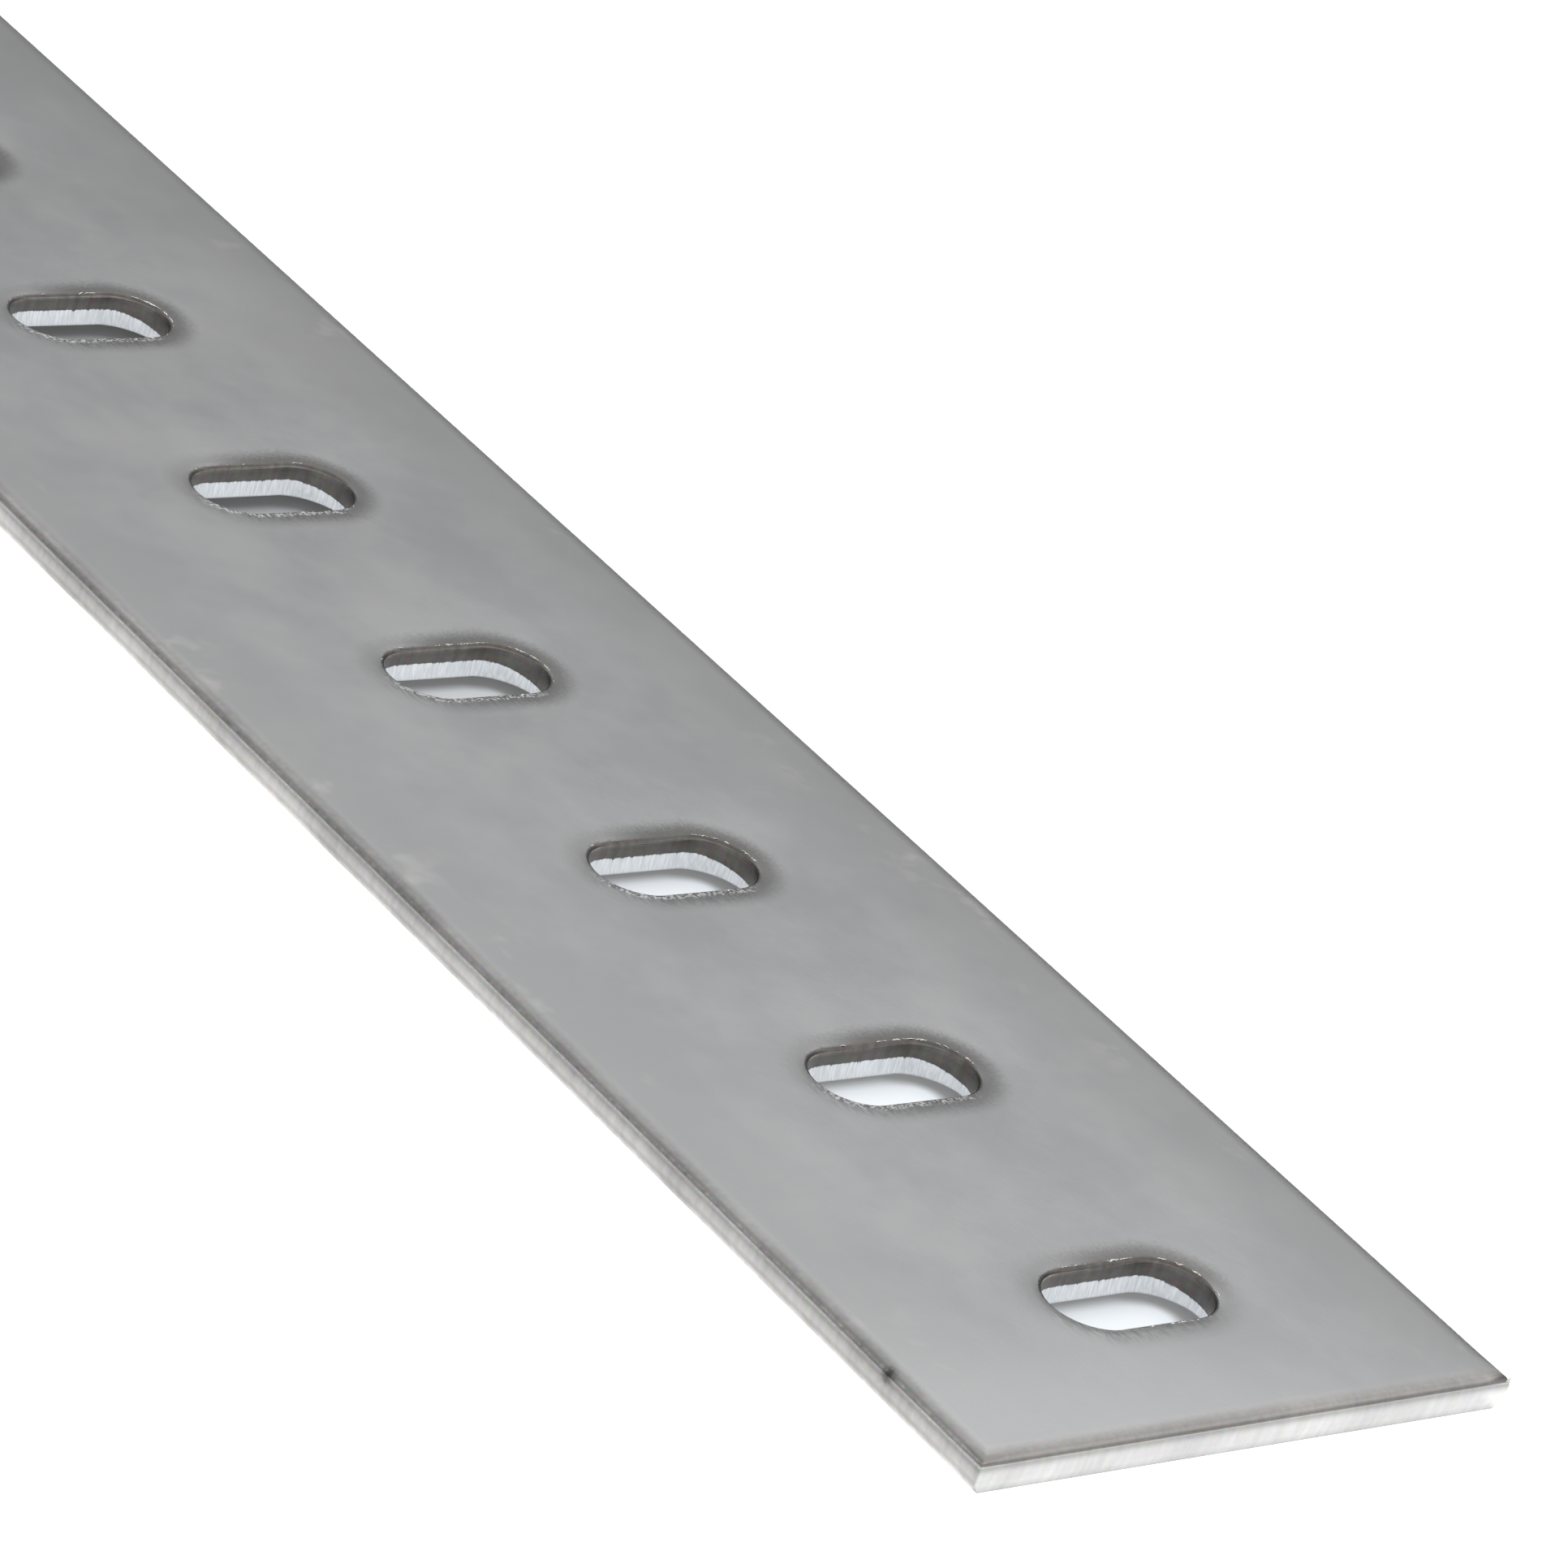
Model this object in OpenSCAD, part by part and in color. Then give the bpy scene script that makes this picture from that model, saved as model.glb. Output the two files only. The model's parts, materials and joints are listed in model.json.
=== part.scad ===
// Perforated flat bar: aluminium strip with one row of punched slots.
// Each slot runs across the bar and has full round ends. The punch and the
// slitting blades came from above, so each cut edge has the three zones of a
// sheared edge: a rolled shoulder at the top, an upright land, and a broken
// lower part that leans away from the blade.
// +X runs along the bar, +Y across it, +Z up. The origin is the middle of
// the underside.

/* [Stock] */
// Length of the bar
bar_length = 1000; // [100:25:2000]
// Width of the bar
bar_width = 35.5; // [25:0.5:60]
// Thickness of the strip
thickness = 2; // [1.6:0.1:4]

/* [Slots] */
// Width of a slot along the bar, measured on the upright land
slot_width = 5; // [3:0.1:7]
// Length of a slot across the bar, over its round ends
slot_length = 10.3; // [7.5:0.1:16]
// Distance from one slot's centre to the next
slot_pitch = 20; // [12:0.5:50]
// Distance from the +X end to the centre of the first slot
end_margin = 10.7; // [8:0.1:20]
// Distance of the row of slots from the middle line, towards +Y
row_offset = 0.4; // [-2:0.1:2]
// Least metal left between the last slot and the -X end
tail_metal = 5; // [3:0.5:10]

/* [Slot walls] */
// Radius of the rolled shoulder round a slot
slot_roll = 0.25; // [0.1:0.05:0.5]
// Height of the broken part of a slot's wall, from the underside
slot_break_height = 0.95; // [0.3:0.05:1.05]
// Distance that a slot's wall flares outwards over its broken part
slot_flare = 0.15; // [0.05:0.01:0.3]

/* [Outer edges] */
// Radius of the rolled shoulder along the long sides and the ends
edge_roll = 0.55; // [0.2:0.05:0.7]
// Height of the broken part of the outer walls, from the underside
edge_break_height = 0.8; // [0.3:0.05:0.85]
// Lean of the broken part on the -Y side
near_side_lean = 0.5; // [0.02:0.01:0.8]
// Lean of the broken part on the +Y side
far_side_lean = 0.4; // [0.02:0.01:0.8]
// Lean of the broken part at both ends
end_lean = 0.15; // [0.02:0.01:0.8]

/* [Hidden] */
$fn = 16;

// Overshoot of the cutters past the faces that they cut
overshoot = 0.5;

end_radius = slot_width / 2;
straight_wall = slot_length - slot_width;
flare_slope = slot_flare / slot_break_height;
slot_span = bar_length - end_margin - tail_metal - end_radius;
slot_count = floor(slot_span / slot_pitch) + 1;
first_slot_x = bar_length / 2 - end_margin;

aluminium = [0.72, 0.73, 0.75];

// Waste beside a rolled shoulder: what lies outside a quarter circle that
// has its centre at the origin and bulges towards +x and +y
module shoulder_waste(radius) {
    difference() {
        square(radius + overshoot);
        circle(radius);
    }
}

// Outline of a sheared strip, seen along the cut. Its width is span, its
// underside is drawn in by lean_left and lean_right.
module sheared_outline(span, lean_left, lean_right) {
    half = span / 2;
    difference() {
        polygon([
            [-half + lean_left, 0],
            [half - lean_right, 0],
            [half, edge_break_height],
            [half, thickness],
            [-half, thickness],
            [-half, edge_break_height]
        ]);
        for (side = [0, 1])
            mirror([side, 0])
                translate([half - edge_roll, thickness - edge_roll])
                    shoulder_waste(edge_roll);
    }
}

// The strip before punching. The long sides and the ends have their own
// outlines, and where the two meet their shoulders form a mitre.
module blank() {
    intersection() {
        rotate([90, 0, 90])
            linear_extrude(bar_length + 2 * overshoot, center = true)
                sheared_outline(bar_width, near_side_lean, far_side_lean);
        rotate([90, 0, 0])
            linear_extrude(bar_width + 2 * overshoot, center = true)
                sheared_outline(bar_length, end_lean, end_lean);
    }
}

// Half section of a punched slot, from its middle plane out to the wall:
// flared below, upright in the middle, and rolled open at the top
module punch_profile() {
    translate([0, -overshoot])
        square([end_radius, thickness + 2 * overshoot]);
    polygon([
        [0, -overshoot],
        [end_radius + slot_flare + flare_slope * overshoot, -overshoot],
        [end_radius, slot_break_height],
        [0, slot_break_height]
    ]);
    translate([0, thickness - slot_roll])
        difference() {
            square([end_radius + slot_roll, slot_roll + overshoot]);
            translate([end_radius + slot_roll, 0])
                circle(slot_roll);
        }
}

// The space of one slot. The section is drawn out along each straight wall
// and turned half way round at each end.
module punched_slot() {
    for (turn = [0, 180])
        rotate(turn) {
            rotate([90, 0, 0])
                linear_extrude(straight_wall, center = true)
                    punch_profile();
            translate([0, straight_wall / 2])
                rotate_extrude(angle = 180)
                    punch_profile();
        }
}

module flat_bar() {
    color(aluminium)
        difference() {
            blank();
            for (i = [0 : slot_count - 1])
                translate([first_slot_x - i * slot_pitch, row_offset])
                    punched_slot();
        }
}

flat_bar();
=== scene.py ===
# %% [markdown]
# Perforated flat bar
#
# The object is a strip of mill finish aluminium, a metre long and 2 mm thick,
# with one row of punched slots that run across it. The whole look of such a
# strip lies in its cut edges. A punch or a shear first drags the surface down
# into a rolled shoulder, then burnishes an upright land, and then the rest
# breaks off rough and leans away from the blade. This lesson models those three
# zones as real geometry and gives each its own finish.

# %% Load the frame
import json
import math
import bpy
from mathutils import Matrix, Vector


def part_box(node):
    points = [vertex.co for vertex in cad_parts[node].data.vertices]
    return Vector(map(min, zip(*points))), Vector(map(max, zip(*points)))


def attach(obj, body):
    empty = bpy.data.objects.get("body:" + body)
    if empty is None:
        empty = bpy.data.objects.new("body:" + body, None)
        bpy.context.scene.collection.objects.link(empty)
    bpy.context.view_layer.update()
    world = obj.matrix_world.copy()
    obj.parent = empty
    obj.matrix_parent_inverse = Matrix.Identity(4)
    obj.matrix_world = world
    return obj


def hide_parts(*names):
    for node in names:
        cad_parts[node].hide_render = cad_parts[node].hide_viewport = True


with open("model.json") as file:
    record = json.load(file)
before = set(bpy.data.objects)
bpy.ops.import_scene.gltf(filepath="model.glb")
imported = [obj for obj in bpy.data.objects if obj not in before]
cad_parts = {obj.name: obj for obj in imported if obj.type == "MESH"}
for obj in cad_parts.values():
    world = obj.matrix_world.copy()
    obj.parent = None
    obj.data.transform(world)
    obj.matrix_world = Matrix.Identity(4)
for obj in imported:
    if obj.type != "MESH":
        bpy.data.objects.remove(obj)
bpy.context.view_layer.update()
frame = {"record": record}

from types import SimpleNamespace

import bpy
from mathutils import Matrix, Vector

# %% [markdown]
# Sizes come from the frame, so that the dressed bar follows the solid one. The
# record gives the place of the stated slots, and their spacing gives the pitch
# of the whole row. The lesson counts in millimetres and turns them into metres
# only where Blender gets them.

# %% Sizes of the bar and its row of slots
MM = 0.001
NODE = "flat_bar"

low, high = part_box(NODE)
LENGTH, WIDTH, THICKNESS = [(high[i] - low[i]) / MM for i in range(3)]

mounts = frame["record"]["mounts"]
stated = {mount["name"]: Vector(mount["pos_m"]) / MM for mount in mounts if "slot" in mount["name"]}
numbers = sorted(int(name[-2:]) for name in stated)
first_slot = stated[f"slot_{numbers[0]:02d}"]
last_slot = stated[f"slot_{numbers[-1]:02d}"]
SLOT_COUNT = numbers[-1]
SLOT_PITCH = (first_slot.x - last_slot.x) / (SLOT_COUNT - 1)

print(f"bar {LENGTH:.1f} x {WIDTH:.1f} x {THICKNESS:.2f} mm")
print(f"{SLOT_COUNT} slots, one every {SLOT_PITCH:.2f} mm")

# %% [markdown]
# A sheared edge is drawn as a profile: a list of stations from the flat top,
# over the shoulder, down the land and the broken part, to the underside. Each
# station has a distance from the land, a height and a zone number. The zone
# number runs from -1 on the flat face through 0 where the shoulder starts, 1
# where the land starts, 2 where the metal broke, 3 at the lower corner and 4
# on the underside. It travels with the mesh as an attribute, and the finish
# reads it later. The same function draws the slots and the outer edges.

# %% Profile of a sheared edge
BURR_HEIGHT = 0.03       # the underside floats on its burrs by this much
BURR_WIDTH = 0.3         # within this distance of an edge the underside comes down to it
LAND_FOOT = 0.04         # the land's last station stands this much above the break


def sheared_profile(roll, break_height, sink, reach, roll_steps):
    """Stations from the top down, each with its distance from the land, height, lean share and zone."""
    shoulder_top = THICKNESS - sink
    stations = [
        (reach, THICKNESS, 0, -1.0),
        (0.55 * reach + 0.45 * roll, THICKNESS - 0.25 * sink, 0, -0.6),
        (0.25 * reach + 0.75 * roll, THICKNESS - 0.6 * sink, 0, -0.3),
    ]
    for step in range(roll_steps + 1):
        turn = 0.5 * math.pi * step / roll_steps
        distance = roll * (1 - math.sin(turn))
        height = shoulder_top - roll * (1 - math.cos(turn))
        stations.append((distance, height, 0, step / roll_steps))
    stations += [
        (0, break_height + LAND_FOOT, 0, 1.9),
        (0, break_height, 0, 2.0),
        (0, 0.6 * break_height, 0.35, 2.4),
        (0, 0.25 * break_height, 0.72, 2.75),
        (0, BURR_HEIGHT, 0.97, 2.97),
        (0, 0, 1, 3.0),
        (0.2 * BURR_WIDTH, 0.3 * BURR_HEIGHT, 1, 3.2),
        (BURR_WIDTH, BURR_HEIGHT, 1, 3.5),
        (reach, BURR_HEIGHT, 1, 4.0),
    ]
    return stations


# %% [markdown]
# The outline of a slot is two straight walls across the bar, joined by half
# circles. It is walked once in even steps, and each step keeps its place and
# the direction in which the metal lies. An outline further out is then the same
# walk with each point moved along its direction.

# %% Outline of a punched slot
END_RADIUS = 2.5
STRAIGHT_WALL = 5.3
OUTLINE_STEP = 0.42


def slot_stations():
    """Points on a slot's land, turning left from the +x wall, each as x, y, outward x and outward y."""
    half_turn = math.pi * END_RADIUS
    wall_steps = round(STRAIGHT_WALL / OUTLINE_STEP)
    end_steps = round(half_turn / OUTLINE_STEP)
    stations = []
    for side in (1, -1):
        for step in range(wall_steps):
            run = STRAIGHT_WALL * step / wall_steps
            stations.append((side * END_RADIUS, side * (run - STRAIGHT_WALL / 2), side, 0))
        for step in range(end_steps):
            angle = math.pi * step / end_steps
            u, v = side * math.cos(angle), side * math.sin(angle)
            stations.append((END_RADIUS * u, side * STRAIGHT_WALL / 2 + END_RADIUS * v, u, v))
    return stations


outline = slot_stations()
print(f"a slot's outline has {len(outline)} points")

# %% [markdown]
# Both the slots and the outer edge are skins stretched over rings of points.
# A small collector keeps the points, the faces and the two attributes until
# the mesh is made. Two short helpers turn points in millimetres into a mesh and
# put an object into the scene. Every later piece uses them too.

# %% Collector for rings of points


def mesh_from_mm(name, points, edges, faces):
    """A mesh from points in millimetres."""
    mesh = bpy.data.meshes.new(name)
    mesh.from_pydata([Vector(point) * MM for point in points], edges, faces)
    return mesh


def placed(name, data):
    """Puts a mesh, a camera or a lamp into the scene as an object."""
    thing = bpy.data.objects.new(name, data)
    bpy.context.scene.collection.objects.link(thing)
    return thing


class Skin:
    """Rings of points with the faces between them."""

    def __init__(self, name, punched):
        self.name = name
        self.punched = punched
        self.points = []
        self.zones = []
        self.faces = []
        self.last = None

    def ring(self, points, zone):
        """Adds a closed ring, and joins it to the ring before."""
        start = len(self.points)
        count = len(points)
        self.points += points
        self.zones += [zone] * count
        if self.last is not None:
            for i in range(count):
                after = (i + 1) % count
                quad = (self.last + i, self.last + after, start + after, start + i)
                self.faces.append(quad if self.punched else quad[::-1])
        self.last = start

    def make(self):
        mesh = mesh_from_mm(self.name, self.points, [], self.faces)
        marks = {"zone": self.zones, "punched": [float(self.punched)] * len(self.points)}
        for name, values in marks.items():
            mesh.attributes.new(name, "FLOAT", "POINT").data.foreach_set("value", values)
        return placed(self.name, mesh)


print("collector ready")

# %% [markdown]
# The punched slot: a tight shoulder, a land that takes about half of the
# thickness, and a break that flares outwards. Round it the face is drawn down
# a little, which shows as a soft grey halo. The photograph shows that the pull
# is uneven. The face sinks less at the -y tip and beside the +x wall, the break
# starts lower at the +y tip, and one wall's foot stands less far out. So each
# ring of the profile is bent by the direction in which its metal lies.

# %% One punched slot
SLOT_ROLL = 0.25
SLOT_BREAK_HEIGHT = 0.95
SLOT_FLARE = 0.15
SLOT_SINK = 0.07
SLOT_REACH = 2.0
SLOT_ROLL_STEPS = 4
BREAK_DROP = 0.30        # share by which the break starts lower at the slot's +y tip
TIP_LIFT = 0.7           # share by which the face sinks less at the slot's -y tip
LIP_LIFT = 0.35          # share by which the face sinks less beside the +x wall
MOST_LIFT = 0.9          # the two lifts together take away no more than this share
BREAK_PULL = 0.25        # distance by which the -x wall's foot stands less far out
TIP_GROWTH = 1.2         # share by which the pull and the lip's lift grow towards a tip


def slot_ring(distance, height, lean):
    """The outline moved outwards, its height bent by the uneven break below or the uneven sink above."""
    ring = []
    for x, y, u, v in outline:
        pull = BREAK_PULL * max(-u, 0.0) * (1 + TIP_GROWTH * max(v, 0.0))
        out = distance + lean * (SLOT_FLARE - pull)
        if height <= SLOT_BREAK_HEIGHT + LAND_FOOT:
            level = height * (1 - BREAK_DROP * max(v, 0.0) ** 2)
        else:
            lift = TIP_LIFT * max(-v, 0.0) + LIP_LIFT * max(u, 0.0) * (1 + TIP_GROWTH * abs(v))
            level = height + min(lift, MOST_LIFT) * min(THICKNESS - height, SLOT_SINK)
        ring.append((x + out * u, y + out * v, level))
    return ring


slot_skin = Skin("slot_walls", punched=True)
slot_profile = sheared_profile(SLOT_ROLL, SLOT_BREAK_HEIGHT, SLOT_SINK, SLOT_REACH, SLOT_ROLL_STEPS)
for distance, height, lean, zone in slot_profile:
    slot_skin.ring(slot_ring(distance, height, lean), zone)
slot_walls = slot_skin.make()
print(f"one slot: {len(slot_skin.faces)} faces")

# %% [markdown]
# The outer edge is the same profile, swept round the rectangle of the bar. A
# ring here is a rectangle drawn in by the profile's distance, so the shoulders
# of a long side and an end meet in a mitre. Each side has its own lean.

# %% The outer edges
EDGE_ROLL = 0.55
EDGE_BREAK_HEIGHT = 0.8
EDGE_SINK = 0.03
EDGE_REACH = 1.2
EDGE_ROLL_STEPS = 5
NEAR_SIDE_LEAN = 0.5
FAR_SIDE_LEAN = 0.4
END_LEAN = 0.15
SIDE_STEP = 1.6          # spacing of the points along a long side
END_STEPS = 24


def rectangle_ring(inset, lean, height):
    """A rectangle drawn in by inset and by its sides' leans, turning left from the +x, +y corner."""
    right = LENGTH / 2 - inset - lean * END_LEAN
    far = WIDTH / 2 - inset - lean * FAR_SIDE_LEAN
    near = -WIDTH / 2 + inset + lean * NEAR_SIDE_LEAN
    corners = [(right, far), (-right, far), (-right, near), (right, near)]
    side_steps = round(LENGTH / SIDE_STEP)
    points = []
    for i, (x, y) in enumerate(corners):
        next_x, next_y = corners[(i + 1) % 4]
        steps = END_STEPS if i % 2 else side_steps
        for step in range(steps):
            share = step / steps
            points.append((x + share * (next_x - x), y + share * (next_y - y), height))
    return points


edge_skin = Skin("outer_edges", punched=False)
edge_profile = sheared_profile(EDGE_ROLL, EDGE_BREAK_HEIGHT, EDGE_SINK, EDGE_REACH, EDGE_ROLL_STEPS)
for distance, height, lean, zone in edge_profile:
    edge_skin.ring(rectangle_ring(distance, lean, height), zone)
outer_edges = edge_skin.make()
print(f"outer edges: {len(edge_skin.faces)} faces")

# %% [markdown]
# Node trees are easier to read as sums. Wire wraps one socket and turns Python
# operators into Math nodes. Board adds any other node from its type, its
# settings and the values or wires of its sockets, and has short methods for the
# nodes that come back often. Both serve Geometry Nodes and materials.

# %% Helpers for node trees


class Wire:
    """One output socket that can be used in an expression."""

    def __init__(self, board, socket):
        self.board = board
        self.socket = socket

    def __add__(self, other):
        return self.board.maths("ADD", self, other)

    def __radd__(self, other):
        return self.board.maths("ADD", other, self)

    def __sub__(self, other):
        return self.board.maths("SUBTRACT", self, other)

    def __rsub__(self, other):
        return self.board.maths("SUBTRACT", other, self)

    def __mul__(self, other):
        return self.board.maths("MULTIPLY", self, other)

    def __rmul__(self, other):
        return self.board.maths("MULTIPLY", other, self)

    def __lt__(self, other):
        return self.board.maths("LESS_THAN", self, other)

    def __gt__(self, other):
        return self.board.maths("GREATER_THAN", self, other)

    def __abs__(self):
        return self.board.maths("ABSOLUTE", self)


def place_stops(elements, stops):
    """Gives a colour ramp its stops, from a list of (place from 0 to 1, colour)."""
    elements[0].color = stops[0][1]
    elements[1].color = stops[-1][1]
    for place, colour in stops[1:-1]:
        elements.new(place).color = colour


class Board:
    """A node tree that is wired up by plain calls."""

    def __init__(self, tree):
        self.tree = tree
        tree.nodes.clear()

    def add(self, kind, settings=None, sockets=None):
        """Adds a node and returns its outputs by name, as wires. A list of wires shares one socket."""
        node = self.tree.nodes.new(kind)
        for name, value in (settings or {}).items():
            if name == "stops":
                place_stops(node.color_ramp.elements, value)
            else:
                setattr(node, name, value)
        for name, value in (sockets or {}).items():
            if isinstance(value, Wire):
                self.tree.links.new(value.socket, node.inputs[name])
            elif isinstance(value, list):
                for wire in reversed(value):
                    self.tree.links.new(wire.socket, node.inputs[name])
            else:
                node.inputs[name].default_value = value
        return {socket.name: Wire(self, socket) for socket in reversed(node.outputs) if socket.enabled}

    def maths(self, operation, *values):
        return self.add("ShaderNodeMath", {"operation": operation}, dict(enumerate(values)))["Value"]

    def from_nearest(self, value, first, pitch):
        """Signed distance from the nearest of the places that repeat from first at a pitch."""
        return self.maths("WRAP", value - first, 0.5 * pitch, -0.5 * pitch)

    def rise(self, value, start, end):
        """0 below start, 1 above end, with a smooth ramp between."""
        settings = {"interpolation_type": "SMOOTHSTEP"}
        sockets = {"Value": value, "From Min": start, "From Max": end}
        return self.add("ShaderNodeMapRange", settings, sockets)["Result"]

    def between(self, value, start, end, soft):
        """1 between start and end, with ramps of the width soft at both."""
        up = self.rise(value, start - soft / 2, start + soft / 2)
        down = self.rise(value, end - soft / 2, end + soft / 2)
        return up * (1 - down)

    def axes(self, vector):
        """The X, Y and Z of a vector, as wires."""
        return self.add("ShaderNodeSeparateXYZ", None, {0: vector})

    def stretch(self, vector, factors):
        sockets = {0: vector, 1: factors}
        return self.add("ShaderNodeVectorMath", {"operation": "MULTIPLY"}, sockets)["Vector"]

    def random(self, low, high, seed):
        """A random number for each point, or a random vector where low and high are vectors."""
        vectors = isinstance(low, tuple)
        kind = "FLOAT_VECTOR" if vectors else "FLOAT"
        first = 0 if vectors else 2
        sockets = {first: low, first + 1: high, 8: seed}      # each kind has its own pair of limits
        return self.add("FunctionNodeRandomValue", {"data_type": kind}, sockets)["Value"]

    def noise(self, vector, scale, detail, roughness=0.5):
        sockets = {"Vector": vector, "Scale": scale, "Detail": detail, "Roughness": roughness}
        return self.add("ShaderNodeTexNoise", {"noise_dimensions": "3D"}, sockets)

    def seeded_noise(self, vector, seed, scale, detail):
        sockets = {"Vector": vector, "W": seed, "Scale": scale, "Detail": detail}
        return self.add("ShaderNodeTexNoise", {"noise_dimensions": "4D"}, sockets)["Fac"]

    def ladder(self, value, tones):
        """Colours along a value, from a list of (value, colour) that rises."""
        low, high = tones[0][0], tones[-1][0]
        stops = [((at - low) / (high - low), colour) for at, colour in tones]
        share = (value - low) * (1 / (high - low))
        return self.add("ShaderNodeValToRGB", {"stops": stops}, {0: share})["Color"]

    def scaled(self, colour, factor):
        sockets = {0: colour, "Scale": factor}
        return self.add("ShaderNodeVectorMath", {"operation": "SCALE"}, sockets)["Vector"]

    def tint(self, share, first, second):
        """Mixes two colours: first where share is 0, second where it is 1."""
        sockets = {0: share, 6: first, 7: second}      # a Mix node's factor and its two colours
        return self.add("ShaderNodeMix", {"data_type": "RGBA"}, sockets)["Result"]

    def join(self, *parts):
        """Joins geometries, the first one first."""
        return self.add("GeometryNodeJoinGeometry", None, {"Geometry": list(parts)})["Geometry"]


print("helpers ready")

# %% [markdown]
# The finish. Every zone is the same metal, so one material covers the bar and
# the zone attribute tells it how the metal was worked. A rolled shoulder
# mirrors first the sky, then the dark horizon and then the floor, all within
# half a millimetre, so a constant colour would show as hard stripes. Instead
# each edge has a ladder of tones along its zones, chosen against the
# photograph, with bands of painted reflection and painted shade: one for the
# long sides, one for the ends and one for the walls of the slots. The dark land
# of a slot's wall is painted shade.

# %% Painted tones along the zones


def grey(level, warmth=0.0):
    """A near neutral colour; a positive warmth makes it browner, a negative one bluer."""
    return (level * (1 + warmth), level, level * (1 - warmth), 1.0)


# painted reflection and painted shade along the zones of a long side, an end and a slot's wall
SIDE_PAINTED_TONES = [(at, grey(level, 0.02)) for at, level in (
    (-1.0, 0.34), (0.0, 0.27), (0.25, 0.29), (0.43, 0.165), (0.52, 0.16), (0.58, 0.27), (0.66, 0.46),
    (0.74, 0.52), (0.80, 0.40), (0.86, 0.25), (0.93, 0.185), (1.07, 0.195), (1.2, 0.255), (1.5, 0.325),
    (1.9, 0.40), (2.4, 0.43), (3.0, 0.93),
)]
END_PAINTED_TONES = [(at, grey(level, 0.045 if at < 0.9 else 0.005)) for at, level in (
    (-1.0, 0.44), (0.0, 0.35), (0.25, 0.34), (0.40, 0.34), (0.50, 0.33), (0.55, 0.40), (0.60, 0.48),
    (0.645, 0.60), (0.78, 0.58), (0.83, 0.30), (0.93, 0.32), (1.0, 0.36), (1.13, 0.46), (1.4, 0.58),
    (1.7, 0.66), (2.4, 0.74), (2.8, 0.70), (3.0, 0.62),
)]
WALL_PAINTED_TONES = [(at, grey(level, 0.085)) for at, level in (
    (-1.0, 0.17), (-0.3, 0.16), (-0.1, 0.135), (0.0, 0.12), (0.25, 0.12), (0.42, 0.115), (0.52, 0.10),
    (0.58, 0.15), (0.645, 0.34), (0.77, 0.36), (0.80, 0.60), (0.86, 0.60), (0.89, 0.17), (0.95, 0.13),
    (1.05, 0.09), (1.2, 0.064), (2.0, 0.063),
)]

print("tones of a side, an end and a slot:", len(SIDE_PAINTED_TONES), len(END_PAINTED_TONES), len(WALL_PAINTED_TONES))

# %% [markdown]
# Worked metal is never even. The face keeps the cloudy look of rolled sheet,
# which a few soft noises give. A cut is streaked along the stroke of the blade.
# Its streaks are noises that are stretched out along the height, so they run
# up and down on every wall and need no texture coordinates of their own. The
# finish also has to know where it is: in which zone, on which kind of edge, on
# which side of a slot, and how far along the bar.

# %% Patterns and places of the finish
PATTERNS = {
    # stretch along x, y and z, then scale, detail and roughness
    "bands": ((0.45, 1.0, 1.0), 70.0, 1.0, 0.5),        # wide bands along the rolling
    "clouds": ((0.8, 1.0, 1.0), 170.0, 2.0, 0.5),       # soft clouds
    "rubbed": ((1.0, 1.0, 1.0), 230.0, 3.0, 0.6),       # patches where scuffs gather
    "spots": ((1.0, 1.0, 1.0), 420.0, 3.0, 0.6),        # small spots
    "broad": ((1.0, 1.0, 0.08), 2200.0, 2.0, 0.5),      # wide streaks of a cut
    "strokes": ((0.3, 1.0, 1.0), 4200.0, 2.0, 0.5),     # dark strokes beside a lip
    "crumbs": ((1.0, 1.0, 1.0), 5200.0, 4.0, 0.6),      # ragged borders
    "fine": ((1.0, 1.0, 0.06), 8000.0, 3.0, 0.6),       # fine streaks of a cut
    "grain": ((0.25, 1.0, 1.0), 9000.0, 4.0, 0.5),      # rolling grain
}


def span(start, end):
    """A stretch from millimetres to metres."""
    return (start * MM, end * MM)


NEAR_LIP = span(-1.0, 2.0)        # along the bar, from a slot's middle to its +x wall
LEFT_TIP = span(-4.5, 1.5)        # across the bar, from a slot's -y tip to its middle
RIGHT_TIP = span(2.5, 5.0)        # across the bar, from a slot's middle to its +y tip
BEFORE_FIRST = span(first_slot.x - 19.3, first_slot.x - 5.3)    # from the second slot to the first
# near the ends the face is painted paler, a painted reflection
END_SHEEN_SPAN = span(LENGTH / 2 - 15, LENGTH / 2 - 2)
END_SHEEN_CORNER = span(-2.0, 12.0)    # across the bar, the pale end fades out here
DARKER_SIDE = span(WIDTH / 2 - 9.75, WIDTH / 2 - 0.75)
SCUFFED_SIDE = span(WIDTH / 2 - 5.75, WIDTH / 2 - 0.55)
FAR_SIDE = span(WIDTH / 2 - 1.75, WIDTH / 2 - 0.75)
MITRE = span((LENGTH - WIDTH) / 2 - 0.1, (LENGTH - WIDTH) / 2 + 0.1)


def uneven(noise, width):
    """Turns a noise into a swing of the given width about zero."""
    return width * (noise - 0.5)


def metal_noises(board, place):
    """All the patterns, by name."""
    noises = {}
    for name, (stretch, scale, detail, roughness) in PATTERNS.items():
        noises[name] = board.noise(board.stretch(place, stretch), scale, detail, roughness)["Fac"]
    return SimpleNamespace(**noises)


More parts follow.
